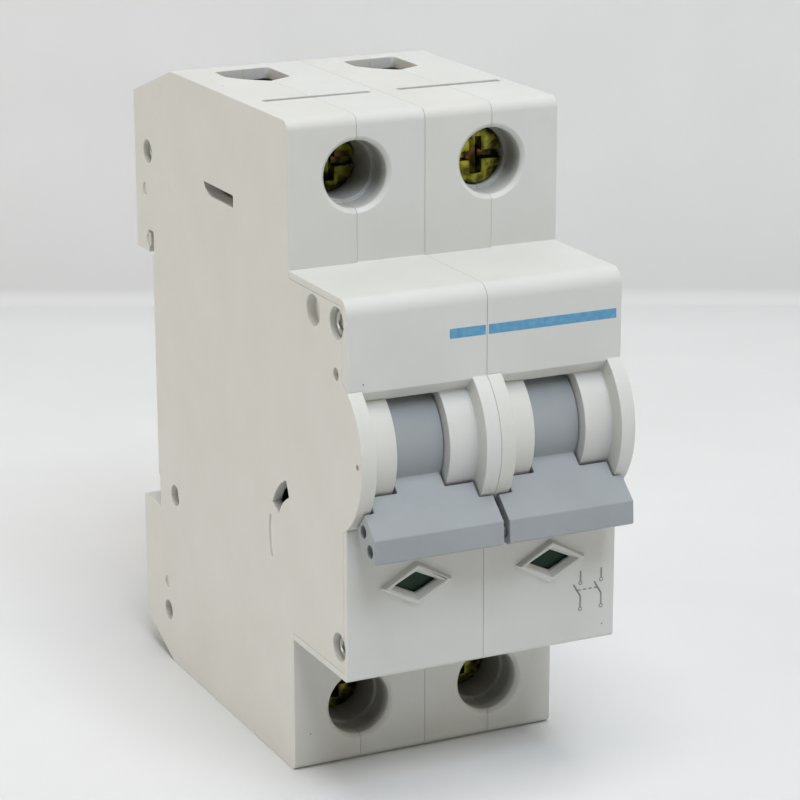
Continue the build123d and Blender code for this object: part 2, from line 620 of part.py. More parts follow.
for pole, x in POLES.items():
    save(f"case_base_{pole}", base, x)
    save(f"case_lid_{pole}", lid, x)
    save(f"toggle_{pole}", toggle(1 if x < 0 else -1), x)
    save(f"toggle_link_{pole}", toggle_link(), x)
    save(f"contact_arm_{pole}", contact_arm(), x)
    save(f"arm_tip_{pole}", arm_tip(), x)
    save(f"fixed_contact_{pole}", fixed_contact(), x)
    save(f"arm_spring_{pole}", arm_spring(), x)
    save(f"latch_{pole}", latch(), x)
    save(f"trip_lever_{pole}", trip_lever(), x)
    save(f"coil_{pole}", coil(), x)
    save(f"coil_bobbin_{pole}", coil_bobbin(), x)
    save(f"coil_yoke_{pole}", coil_yoke(), x)
    save(f"plunger_{pole}", plunger(), x)
    save(f"bimetal_{pole}", bimetal(), x)
    save(f"braid_{pole}", braid(), x)
    save(f"arc_plates_{pole}", arc_plates(), x)
    save(f"chute_frame_{pole}", chute_frame(), x)
    save(f"lower_runner_{pole}", lower_runner(), x)
    save(f"screw_top_{pole}", terminal_screw(1, HEAD_FACE[pole]), x)
    save(f"screw_bottom_{pole}", terminal_screw(-1, HEAD_FACE[1]), x)
    save(f"clamp_top_{pole}", terminal_clamp(1), x)
    save(f"clamp_bottom_{pole}", terminal_clamp(-1), x)
    save(f"bus_plate_top_{pole}", top_bus_plate(), x)
    save(f"bus_plate_bottom_{pole}", bottom_bus_plate(), x)
    save(f"flag_{pole}", flag(), x)
    save(f"rail_clip_{pole}", rail_clip(), x)

save("tie_pins", tie_pins())
save("trip_bar", trip_bar())
save("pivot_pins", pivot_pins())
save("plunger_springs", plunger_springs())
save("calibration_screws", calibration_screws())
save("case_rivets", rivets())
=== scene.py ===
"""Looks of a two-pole rail breaker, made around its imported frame. Lengths are in metres."""
import json
import math

import bmesh
import bpy
from mathutils import Matrix, Vector


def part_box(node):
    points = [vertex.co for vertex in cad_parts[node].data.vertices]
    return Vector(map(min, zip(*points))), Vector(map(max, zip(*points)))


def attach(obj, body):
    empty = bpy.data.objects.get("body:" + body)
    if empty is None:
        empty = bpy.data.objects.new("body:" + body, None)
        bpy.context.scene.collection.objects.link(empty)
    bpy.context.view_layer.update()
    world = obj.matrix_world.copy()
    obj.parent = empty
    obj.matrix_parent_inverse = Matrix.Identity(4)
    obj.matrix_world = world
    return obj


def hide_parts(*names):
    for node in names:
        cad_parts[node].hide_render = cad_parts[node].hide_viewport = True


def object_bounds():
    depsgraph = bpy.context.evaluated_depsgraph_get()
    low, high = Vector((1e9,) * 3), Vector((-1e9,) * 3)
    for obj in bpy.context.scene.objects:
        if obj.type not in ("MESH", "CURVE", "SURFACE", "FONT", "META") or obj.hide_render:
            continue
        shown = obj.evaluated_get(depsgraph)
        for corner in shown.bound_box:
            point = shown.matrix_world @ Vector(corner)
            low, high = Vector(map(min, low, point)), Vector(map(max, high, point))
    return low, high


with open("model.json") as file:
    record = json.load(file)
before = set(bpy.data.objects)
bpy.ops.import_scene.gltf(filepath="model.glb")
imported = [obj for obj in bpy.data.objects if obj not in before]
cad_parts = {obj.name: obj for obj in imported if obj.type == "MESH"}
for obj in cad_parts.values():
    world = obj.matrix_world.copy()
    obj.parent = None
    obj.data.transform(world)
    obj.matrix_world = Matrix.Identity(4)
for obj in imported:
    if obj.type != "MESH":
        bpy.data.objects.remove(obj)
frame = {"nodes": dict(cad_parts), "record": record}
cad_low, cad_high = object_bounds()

MM = 0.001
MERGE = 0.002 * MM            # vertices of a CAD mesh closer than this are one
FLAT = math.radians(0.4)      # faces that meet at less than this are one plane
SHARP = math.radians(32)      # edges that turn by more than this are rounded
CASE_EDGE = 0.11 * MM         # edge radius of the housings
HANDLE_EDGE = 0.12 * MM       # edge radius of the toggles
HEAD_EDGE = 0.13 * MM         # edge radius of a screw head
INK_OUT = 0.012 * MM          # how far a print stands out of its face
INK_IN = 0.010 * MM           # how far it reaches into it
NODES = frame["nodes"]
BODIES = frame["record"]["behaviour"]["bodies"]
BODY_OF = {node: body for body, members in BODIES.items() for node in members}
POLES = (1, 2)


# ------------------------------------------------------------------ places read from the frame
def middle(node):
    """Middle of a node's box."""
    low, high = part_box(node)
    return (low + high) / 2


POLE_X = {pole: middle(f"case_base_{pole}").x for pole in POLES}
NOSE_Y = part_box("case_base_1")[0].y
CENTRE = (cad_low + cad_high) / 2


# ------------------------------------------------------------------ small helpers
def linear(colour):
    """An sRGB hex colour as linear RGBA."""
    parts = [int(colour[i:i + 2], 16) / 255 for i in (1, 3, 5)]
    return tuple(c / 12.92 if c <= 0.04045 else ((c + 0.055) / 1.055) ** 2.4 for c in parts) + (1.0,)


def add(tree, kind, links=None, **settings):
    """A node with its settings, and its inputs set to values or linked to sockets."""
    node = tree.nodes.new(kind)
    for name, value in settings.items():
        setattr(node, name, value)
    for key, value in (links or {}).items():
        socket = next((s for s in node.inputs if s.name == key and s.enabled), None) or node.inputs[key]
        if isinstance(value, bpy.types.NodeSocket):
            tree.links.new(value, socket)
        else:
            socket.default_value = value
    return node


def new_material(name):
    """An empty node material with a Principled shader wired to its output."""
    material = bpy.data.materials.new(name)
    material.use_nodes = True
    tree = material.node_tree
    tree.nodes.clear()
    shader = add(tree, "ShaderNodeBsdfPrincipled")
    add(tree, "ShaderNodeOutputMaterial", {"Surface": shader.outputs["BSDF"]})
    return material, tree, shader


def ramp(tree, factor, low, high, dark, light):
    """A colour ramp between two colours over a stretch of its factor."""
    node = add(tree, "ShaderNodeValToRGB", {"Fac": factor})
    node.color_ramp.elements[0].position = low
    node.color_ramp.elements[1].position = high
    node.color_ramp.elements[0].color = dark
    node.color_ramp.elements[1].color = light
    return node.outputs["Color"]


def new_piece(name, mesh, body, material, smooth_angle):
    """A finished piece at the origin, riding on its body."""
    piece = bpy.data.objects.new(name, mesh)
    bpy.context.scene.collection.objects.link(piece)
    mesh.materials.clear()
    mesh.materials.append(material)
    if smooth_angle:
        mesh.shade_smooth()
        mesh.set_sharp_from_angle(angle=math.radians(smooth_angle))
    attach(piece, body)
    return piece


# ------------------------------------------------------------------ materials
def tunnel_painted_shade(tree, place, unshaded_colour):
    """Painted shade in the four screw tunnels: darker with depth, least next to the case's middle."""
    axis = middle("screw_top_2")
    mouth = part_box("screw_top_2")[0].y - 4.0 * MM
    length, radius = 10.4 * MM, 4.9 * MM
    spot = add(tree, "ShaderNodeSeparateXYZ", {"Vector": place})
    away = []
    for letter, centre in (("X", axis.x), ("Z", axis.z)):
        size = add(tree, "ShaderNodeMath", {0: spot.outputs[letter]}, operation="ABSOLUTE")
        off = add(tree, "ShaderNodeMath", {0: size.outputs["Value"], 1: centre}, operation="SUBTRACT")
        away.append(off.outputs["Value"])
    flat = add(tree, "ShaderNodeCombineXYZ", {"X": away[0], "Z": away[1]})
    reach = add(tree, "ShaderNodeVectorMath", {0: flat.outputs["Vector"]}, operation="LENGTH")
    narrow = add(tree, "ShaderNodeMath", {0: reach.outputs["Value"], 1: radius}, operation="LESS_THAN")
    ahead = add(tree, "ShaderNodeMath", {0: spot.outputs["Y"], 1: mouth + length}, operation="LESS_THAN")
    depth = add(tree, "ShaderNodeMapRange", {
        "Value": spot.outputs["Y"], "From Min": mouth, "From Max": mouth + 2 * MM})
    rise = add(tree, "ShaderNodeMapRange", {
        "Value": away[1], "From Min": -3.2 * MM, "From Max": -1.6 * MM, "To Min": 0.25})
    much = narrow.outputs["Value"]
    for part in (ahead.outputs["Value"], depth.outputs["Result"], rise.outputs["Result"]):
        much = add(tree, "ShaderNodeMath", {0: much, 1: part}, operation="MULTIPLY").outputs["Value"]
    # the grey mixed in here is painted shade on the tunnel walls, not a stain
    dirt_and_painted_shade = add(tree, "ShaderNodeMix", {"Factor": much, "A": unshaded_colour, "B": linear("#95948D")}, data_type="RGBA")
    return dirt_and_painted_shade.outputs["Result"]


def moulded_plastic(name, base, shade, grain, bump, roughness, tunnels=False):
    """Moulded thermoset or nylon: spark-eroded grain, soft flow clouds and faint handling marks; with
    tunnels, painted shade in the screw tunnels.
    """
    material, tree, shader = new_material(name)
    place = add(tree, "ShaderNodeTexCoord").outputs["Object"]
    flow = add(tree, "ShaderNodeTexNoise", {
        "Vector": place, "Scale": 1 / (9 * MM), "Detail": 4.0, "Roughness": 0.55})
    colour = ramp(tree, flow.outputs["Fac"], 0.30, 0.72, linear(shade), linear(base))
    # hand grease and dust: sparse soft smudges a few millimetres wide
    smudge = add(tree, "ShaderNodeTexNoise", {
        "Vector": place, "Scale": 1 / (4.2 * MM), "Detail": 6.0, "Roughness": 0.62})
    marks = ramp(tree, smudge.outputs["Fac"], 0.60, 0.78, (0, 0, 0, 1), (1, 1, 1, 1))
    dirt_and_painted_shade = add(tree, "ShaderNodeMix", {"Factor": marks, "A": colour, "B": linear(shade)}, data_type="RGBA")
    # contamination in the moulding powder: a dark speck, 0.23 mm at most, per six square centimetres or so
    cells = add(tree, "ShaderNodeTexVoronoi", {"Vector": place, "Scale": 1 / (2.6 * MM)})
    near = add(tree, "ShaderNodeMath", {0: cells.outputs["Distance"], 1: 0.045}, operation="LESS_THAN")
    picked = add(tree, "ShaderNodeSeparateColor", {"Color": cells.outputs["Color"]})
    rare = add(tree, "ShaderNodeMath", {0: picked.outputs["Red"], 1: 0.12}, operation="LESS_THAN")
    speck = add(tree, "ShaderNodeMath", {
        0: near.outputs["Value"], 1: rare.outputs["Value"]}, operation="MULTIPLY")
    spotted = add(tree, "ShaderNodeMix", {
        "Factor": speck.outputs["Value"], "A": dirt_and_painted_shade.outputs["Result"],
        "B": linear("#6E6B64")}, data_type="RGBA")
    surface = spotted.outputs["Result"]
    # painted shade in the screw tunnels, darker with depth
    if tunnels:
        surface = tunnel_painted_shade(tree, place, surface)
    tree.links.new(surface, shader.inputs["Base Color"])
    pits = add(tree, "ShaderNodeTexNoise", {
        "Vector": place, "Scale": 1 / grain, "Detail": 3.0, "Roughness": 0.6})
    rough = add(tree, "ShaderNodeMapRange", {
        "Value": smudge.outputs["Fac"], "To Min": roughness + 0.05, "To Max": roughness - 0.08})
    tree.links.new(rough.outputs["Result"], shader.inputs["Roughness"])
    relief = add(tree, "ShaderNodeBump", {
        "Height": pits.outputs["Fac"], "Strength": bump, "Distance": 0.05 * MM})
    tree.links.new(relief.outputs["Normal"], shader.inputs["Normal"])
    shader.inputs["IOR"].default_value = 1.5
    shader.inputs["Specular IOR Level"].default_value = 0.45
    return material


def plated_metal(name, base, shade, roughness, brushed=None):
    """Plated or rolled metal: fine grain, slight tarnish clouds; brushed gives a direction."""
    material, tree, shader = new_material(name)
    place = add(tree, "ShaderNodeTexCoord").outputs["Object"]
    if brushed:
        place = add(tree, "ShaderNodeMapping", {"Vector": place, "Scale": brushed}).outputs["Vector"]
    clouds = add(tree, "ShaderNodeTexNoise", {"Vector": place, "Scale": 1 / (2.5 * MM), "Detail": 4.0})
    colour = ramp(tree, clouds.outputs["Fac"], 0.35, 0.70, linear(shade), linear(base))
    tree.links.new(colour, shader.inputs["Base Color"])
    lines = add(tree, "ShaderNodeTexNoise", {"Vector": place, "Scale": 1 / (0.4 * MM), "Detail": 2.0})
    rough = add(tree, "ShaderNodeMapRange", {
        "Value": clouds.outputs["Fac"], "To Min": roughness - 0.06, "To Max": roughness + 0.10})
    tree.links.new(rough.outputs["Result"], shader.inputs["Roughness"])
    relief = add(tree, "ShaderNodeBump", {
        "Height": lines.outputs["Fac"], "Strength": 0.12, "Distance": 0.03 * MM})
    tree.links.new(relief.outputs["Normal"], shader.inputs["Normal"])
    shader.inputs["Metallic"].default_value = 1.0
    return material


# urea moulding, matt from a spark-eroded mould; grain of 0.1 mm drawn at 0.3 mm so that it shows.
# Nylon for the handles, clips and inner levers; fibre for the side plates of the arc chute.
# lid and base both carry painted shade in their screw tunnels
LID_PLASTIC = moulded_plastic("urea_moulding_lid", "#D4D3CE", "#CFCEC8", 0.3 * MM, 0.16, 0.50, tunnels=True)
BASE_PLASTIC = moulded_plastic("urea_moulding_base", "#D4D4D0", "#CFCFCA", 0.3 * MM, 0.16, 0.48, tunnels=True)
HANDLE_PLASTIC = moulded_plastic("nylon_moulding_blue_grey", "#9BA0A3", "#95999C", 0.25 * MM, 0.12, 0.46)
CLIP_PLASTIC = moulded_plastic("nylon_moulding_grey", "#A3A6A4", "#989B99", 0.3 * MM, 0.15, 0.5)
INNER_PLASTIC = moulded_plastic("nylon_moulding_dark", "#4A4B4A", "#3C3D3C", 0.3 * MM, 0.15, 0.5)
FIBRE = moulded_plastic("vulcanised_fibre", "#8C3B2A", "#7A3022", 0.2 * MM, 0.3, 0.7)


def yellow_passivate(name):
    """Chromate film on zinc: drifts between olive, yellow-green and a reddish brown, glossy but oily."""
    material, tree, shader = new_material(name)
    place = add(tree, "ShaderNodeTexCoord").outputs["Object"]
    film = add(tree, "ShaderNodeTexNoise", {
        "Vector": place, "Scale": 1 / (2.2 * MM), "Detail": 3.0, "Distortion": 0.6})
    shades = add(tree, "ShaderNodeValToRGB", {"Fac": film.outputs["Fac"]})
    stops = ((0.30, "#7A4A30"), (0.42, "#3F3D20"), (0.50, "#6F6C2A"), (0.60, "#A6A442"), (0.72, "#4A4A22"))
    for index, (position, shade) in enumerate(stops):
        stop = shades.color_ramp.elements[index] if index < 2 else shades.color_ramp.elements.new(position)
        stop.position, stop.color = position, linear(shade)
    tree.links.new(shades.outputs["Color"], shader.inputs["Base Color"])
    oil = add(tree, "ShaderNodeMapRange", {"Value": film.outputs["Fac"], "To Min": 0.18, "To Max": 0.42})
    tree.links.new(oil.outputs["Result"], shader.inputs["Roughness"])
    turned = add(tree, "ShaderNodeTexNoise", {"Vector": place, "Scale": 1 / (0.5 * MM), "Detail": 2.0})
    relief = add(tree, "ShaderNodeBump", {
        "Height": turned.outputs["Fac"], "Strength": 0.25, "Distance": 0.05 * MM})
    tree.links.new(relief.outputs["Normal"], shader.inputs["Normal"])
    shader.inputs["Metallic"].default_value = 1.0
    return material


# plated and rolled metals: zinc plate on steel, drawn spring wire, rolled copper, silver tips, bimetal strip
SCREW_ZINC = yellow_passivate("steel_yellow_passivated")
ZINC = plated_metal("steel_zinc_plated", "#B9BAB8", "#9A9C9B", 0.32)
SPRING_STEEL = plated_metal("spring_steel_drawn", "#9A9A98", "#7E7F7E", 0.28, brushed=(1, 8, 8))
COPPER = plated_metal("copper_rolled", "#D08A62", "#B56E4A", 0.30, brushed=(6, 1, 6))
SILVER = plated_metal("silver_contact_alloy", "#DAD7CF", "#C2BEB4", 0.25)
BIMETAL = plated_metal("bimetal_rolled_strip", "#A9A49A", "#8F8B83", 0.33, brushed=(8, 8, 1))


def printed_ink(name, colour, roughness):
    """Pad-printed ink: thin, and a little uneven where it has faded."""
    material, tree, shader = new_material(name)
    place = add(tree, "ShaderNodeTexCoord").outputs["Object"]
    wear = add(tree, "ShaderNodeTexNoise", {"Vector": place, "Scale": 1 / (0.8 * MM), "Detail": 5.0})
    faded = ramp(tree, wear.outputs["Fac"], 0.35, 0.75, linear(colour[0]), linear(colour[1]))
    tree.links.new(faded, shader.inputs["Base Color"])
    shader.inputs["Roughness"].default_value = roughness
    return material


BLUE_INK = printed_ink("pad_print_blue", ("#4E90B8", "#6AA3C2"), 0.42)
GREY_INK = printed_ink("pad_print_grey", ("#7C7E7B", "#9A9B97"), 0.5)


def flag_plastic():
    """Two-shot moulding: green field below, red field above, half gloss."""
    material, tree, shader = new_material("flag_two_shot_gloss")
    place = add(tree, "ShaderNodeTexCoord").outputs["Object"]
    height = add(tree, "ShaderNodeSeparateXYZ", {"Vector": place}).outputs["Z"]
    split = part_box("flag_1")[0].z + 3.3 * MM
    above = add(tree, "ShaderNodeMath", {0: height, 1: split}, operation="GREATER_THAN")
    speckle = add(tree, "ShaderNodeTexNoise", {"Vector": place, "Scale": 1 / (1.5 * MM), "Detail": 3.0})
    green = ramp(tree, speckle.outputs["Fac"], 0.3, 0.7, linear("#0F2A1C"), linear("#153624"))
    red = ramp(tree, speckle.outputs["Fac"], 0.3, 0.7, linear("#A02018"), linear("#B32A1E"))
    field = add(tree, "ShaderNodeMix", {
        "Factor": above.outputs["Value"], "A": green, "B": red}, data_type="RGBA")
    tree.links.new(field.outputs["Result"], shader.inputs["Base Color"])
    shader.inputs["Roughness"].default_value = 0.4
    shader.inputs["Specular IOR Level"].default_value = 0.25
    return material


FLAG = flag_plastic()


# ------------------------------------------------------------------ camera, floor and light
def camera():
    """A long lens from the front left, a little above."""
    data = bpy.data.cameras.new("camera")
    data.sensor_width = 36.0
    data.lens = 129.1
    data.clip_start = 0.01
    data.clip_end = 10.0
    eye = bpy.data.objects.new("camera", data)
    bpy.context.scene.collection.objects.link(eye)
    forward = Vector((0.4148, 0.8645, -0.2840)).normalized()
    up = Vector((0.1249, 0.2551, 0.9588)).normalized()
    right = forward.cross(up).normalized()
    up = right.cross(forward)
    turn = Matrix((right, up, -forward)).transposed()
    eye.matrix_world = Matrix.Translation((-144.49 * MM, -338.27 * MM, 101.71 * MM)) @ turn.to_4x4()
    bpy.context.scene.camera = eye


def floor():
    """A pale table top that bends up, 175 mm behind the object's middle, into a wall."""
    half, near, far, radius, rise, steps = 1.6, -1.6, 0.175, 0.003, 1.3, 12
    profile = [(near, 0.0)]
    for step in range(steps + 1):
        turn = math.radians(90 * step / steps)
        profile.append((far + radius * math.sin(turn), radius * (1 - math.cos(turn))))
    profile.append((far + radius, rise))
    mesh = bpy.data.meshes.new("floor")
    points = [(x, y, cad_low.z + h) for y, h in profile for x in (-half, half)]
    faces = [(2 * i, 2 * i + 1, 2 * i + 3, 2 * i + 2) for i in range(len(profile) - 1)]
    mesh.from_pydata(points, [], faces)
    mesh.shade_smooth()
    sheet = bpy.data.objects.new("floor", mesh)
    sheet.rotation_euler.z = math.radians(-25.6)
    bpy.context.scene.collection.objects.link(sheet)
    material, tree, shader = new_material("paper_matt_pale")
    place = add(tree, "ShaderNodeTexCoord").outputs["Object"]
    fibre = add(tree, "ShaderNodeTexNoise", {"Vector": place, "Scale": 40.0, "Detail": 3.0})
    paper = ramp(tree, fibre.outputs["Fac"], 0.3, 0.7, linear("#DADADA"), linear("#DDDDDD"))
    # painted shade: the sheet turns a little grey towards its bend, over 16 mm of the table and 30 mm of the
    # wall
    spot = add(tree, "ShaderNodeSeparateXYZ", {"Vector": place})
    near_bend = add(tree, "ShaderNodeMapRange", {
        "Value": spot.outputs["Y"], "From Min": far - 0.016, "From Max": far})
    above = add(tree, "ShaderNodeMapRange", {
        "Value": spot.outputs["Z"], "From Min": cad_low.z + 0.002, "From Max": cad_low.z + 0.030,
        "To Min": 1.0, "To Max": 0.0})
    painted_bend_shade = add(tree, "ShaderNodeMath", {
        0: near_bend.outputs["Result"], 1: above.outputs["Result"]}, operation="MULTIPLY")
    sheet_colour = add(tree, "ShaderNodeMix", {
        "Factor": painted_bend_shade.outputs["Value"], "A": paper, "B": linear("#D6D6D6")}, data_type="RGBA")
    tree.links.new(sheet_colour.outputs["Result"], shader.inputs["Base Color"])
    shader.inputs["Roughness"].default_value = 0.85
    shader.inputs["Specular IOR Level"].default_value = 0.2
    mesh.materials.append(material)


def area_light(name, place, size, watts):
    """A soft box that faces the object; watts gives its red, green and blue power."""
    data = bpy.data.lights.new(name, "AREA")
    data.shape = "RECTANGLE"
    data.size, data.size_y = size
    data.energy = max(watts)
    data.color = [part / max(watts) for part in watts]
    lamp = bpy.data.objects.new(name, data)
    lamp.location = place
    lamp.rotation_euler = (CENTRE - Vector(place)).to_track_quat("-Z", "Y").to_euler()
    bpy.context.scene.collection.objects.link(lamp)


def lighting():
    """Two soft boxes overhead, one at the left and one low at the right, in a nearly dark room."""
    world = bpy.data.worlds.new("room")
    world.use_nodes = True
    background = world.node_tree.nodes["Background"]
    background.inputs["Color"].default_value = linear("#F4F6FA")
    background.inputs["Strength"].default_value = 0.015
    bpy.context.scene.world = world
    area_light("overhead_front", (-0.02, -0.62, 0.78), (0.5, 0.35), (3.95, 4.3, 4.75))
    area_light("overhead", (-0.02, -0.22, 0.85), (0.5, 0.35), (3.5, 3.45, 3.4))
    area_light("left_back", (-0.75, 0.05, 0.25), (0.5, 0.6), (2.6, 2.45, 2.15))
    area_light("right_low", (0.75, -0.75, 0.20), (0.9, 0.7), (2.2, 2.1, 1.75))


camera()
floor()
lighting()
bpy.context.scene.view_settings.view_transform = "Standard"


# ------------------------------------------------------------------ mouldings with softened edges
def mark_sharp(work):
    """Joins faces in one plane and gives the sharp edges a bevel weight."""
    bmesh.ops.dissolve_limit(work, angle_limit=FLAT, verts=work.verts, edges=work.edges)
    weight = work.edges.layers.float.new("bevel_weight_edge")
    for edge in work.edges:
        if len(edge.link_faces) == 2 and edge.calc_face_angle(0) > SHARP:
            # the poles meet flush at x = 0, so the arris there is all but sharp
            edge[weight] = 0.3 if all(abs(vert.co.x) < 0.05 * MM for vert in edge.verts) else 1.0


def soft_edges(node, radius, material):
    """A copy of a CAD node, merged and with a small moulding radius on its sharp edges."""
    mesh = NODES[node].data.copy()
    work = bmesh.new()
    work.from_mesh(mesh)
    bmesh.ops.remove_doubles(work, verts=work.verts, dist=MERGE)
    mark_sharp(work)
    work.to_mesh(mesh)
    work.free()
    piece = new_piece(f"{node}_moulding", mesh, BODY_OF[node], material, smooth_angle=None)
    mesh.shade_smooth()
    bevel = piece.modifiers.new("moulding_radius", "BEVEL")
    bevel.limit_method = "WEIGHT"
    bevel.width = radius
    bevel.segments = 2
    bevel.use_clamp_overlap = False
    bevel.loop_slide = False
    bevel.miter_outer = "MITER_ARC"
    even = piece.modifiers.new("even_normals", "WEIGHTED_NORMAL")
    even.mode = "FACE_AREA"
    even.weight = 90
    even.thresh = 0.01
    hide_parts(node)
    return piece


MOULDINGS = {}
for pole in POLES:
    MOULDINGS["lid", pole] = soft_edges(f"case_lid_{pole}", CASE_EDGE, LID_PLASTIC)
    MOULDINGS["base", pole] = soft_edges(f"case_base_{pole}", CASE_EDGE, BASE_PLASTIC)
    soft_edges(f"toggle_{pole}", HANDLE_EDGE, HANDLE_PLASTIC)


# ------------------------------------------------------------------ shapes that repeat: Geometry Nodes
SOCKETS = {float: "NodeSocketFloat", int: "NodeSocketInt", bpy.types.Material: "NodeSocketMaterial"}


def geometry_tree(name, inputs):
    """A Geometry Nodes tree with named inputs; returns it and its input sockets by name."""
    tree = bpy.data.node_groups.new(name, "GeometryNodeTree")
    tree.interface.new_socket("Geometry", in_out="INPUT", socket_type="NodeSocketGeometry")
    for label, kind in inputs.items():
        tree.interface.new_socket(label, in_out="INPUT", socket_type=SOCKETS[kind])
    tree.interface.new_socket("Geometry", in_out="OUTPUT", socket_type="NodeSocketGeometry")
    return tree, add(tree, "NodeGroupInput").outputs


def close_tree(tree, geometry, material):
    """Realizes the instances, sets the material and wires the output."""
    smooth = add(tree, "GeometryNodeSetShadeSmooth", {"Geometry": geometry})
    solid = add(tree, "GeometryNodeRealizeInstances", {"Geometry": smooth.outputs["Geometry"]})
    final = add(tree, "GeometryNodeSetMaterial", {
        "Geometry": solid.outputs["Geometry"], "Material": material})
    add(tree, "NodeGroupOutput", {"Geometry": final.outputs["Geometry"]})


def grow(tree, values, start=None):
    """Runs a tree on a mesh and returns the result as a plain mesh."""
    carrier = bpy.data.objects.new("carrier", start or bpy.data.meshes.new("start"))
    bpy.context.scene.collection.objects.link(carrier)
    modifier = carrier.modifiers.new("shape", "NODES")
    modifier.node_group = tree
    for item in tree.interface.items_tree:
        if item.item_type == "SOCKET" and item.in_out == "INPUT" and item.name in values:
            modifier[item.identifier] = values[item.name]
    bpy.context.view_layer.update()
    mesh = bpy.data.meshes.new_from_object(carrier.evaluated_get(bpy.context.evaluated_depsgraph_get()))
    carrier.modifiers.remove(modifier)
    bpy.data.objects.remove(carrier)
    return mesh


def helix_tree():
    """Wire wound on a cylinder along +Z, its middle line at the given radius."""
    tree, given = geometry_tree("wire_helix", {
        "Turns": float, "Radius": float, "Length": float, "Wire radius": float, "Sides": int,
        "Material": bpy.types.Material})
    line = add(tree, "GeometryNodeCurveSpiral", {
        "Resolution": 28, "Rotations": given["Turns"], "Start Radius": given["Radius"],
        "End Radius": given["Radius"], "Height": given["Length"]})
    upright = add(tree, "GeometryNodeSetCurveNormal", {"Curve": line.outputs["Curve"]}, mode="Z_UP")
    section = add(tree, "GeometryNodeCurvePrimitiveCircle", {
        "Resolution": given["Sides"], "Radius": given["Wire radius"]})
    wire = add(tree, "GeometryNodeCurveToMesh", {
        "Curve": upright.outputs["Curve"], "Profile Curve": section.outputs["Curve"], "Fill Caps": True})
    close_tree(tree, wire.outputs["Mesh"], given["Material"])
    return tree


def rivet_tree():
    """A rolled tubular rivet end on each start point, facing along X; attribute size is its radius."""
    tree, given = geometry_tree("rolled_rivets", {"Roll radius": float, "Material": bpy.types.Material})
    points = add(tree, "GeometryNodeMeshToPoints", {"Mesh": given["Geometry"]})
    ring = add(tree, "GeometryNodeCurvePrimitiveCircle", {"Resolution": 32, "Radius": 0.72})
    roll = add(tree, "GeometryNodeCurvePrimitiveCircle", {"Resolution": 12, "Radius": given["Roll radius"]})
    head = add(tree, "GeometryNodeCurveToMesh", {
        "Curve": ring.outputs["Curve"], "Profile Curve": roll.outputs["Curve"]})
    plug = add(tree, "GeometryNodeMeshCylinder", {"Vertices": 32, "Radius": 0.62, "Depth": 0.05})
    both = add(tree, "GeometryNodeJoinGeometry")
    tree.links.new(head.outputs["Mesh"], both.inputs["Geometry"])
    tree.links.new(plug.outputs["Mesh"], both.inputs["Geometry"])
    size = add(tree, "GeometryNodeInputNamedAttribute", {"Name": "size"}, data_type="FLOAT")
    placed = add(tree, "GeometryNodeInstanceOnPoints", {
        "Points": points.outputs["Points"], "Instance": both.outputs["Geometry"],
        "Rotation": (0.0, math.pi / 2, 0.0), "Scale": size.outputs["Attribute"]})
    close_tree(tree, placed.outputs["Instances"], given["Material"])
    return tree


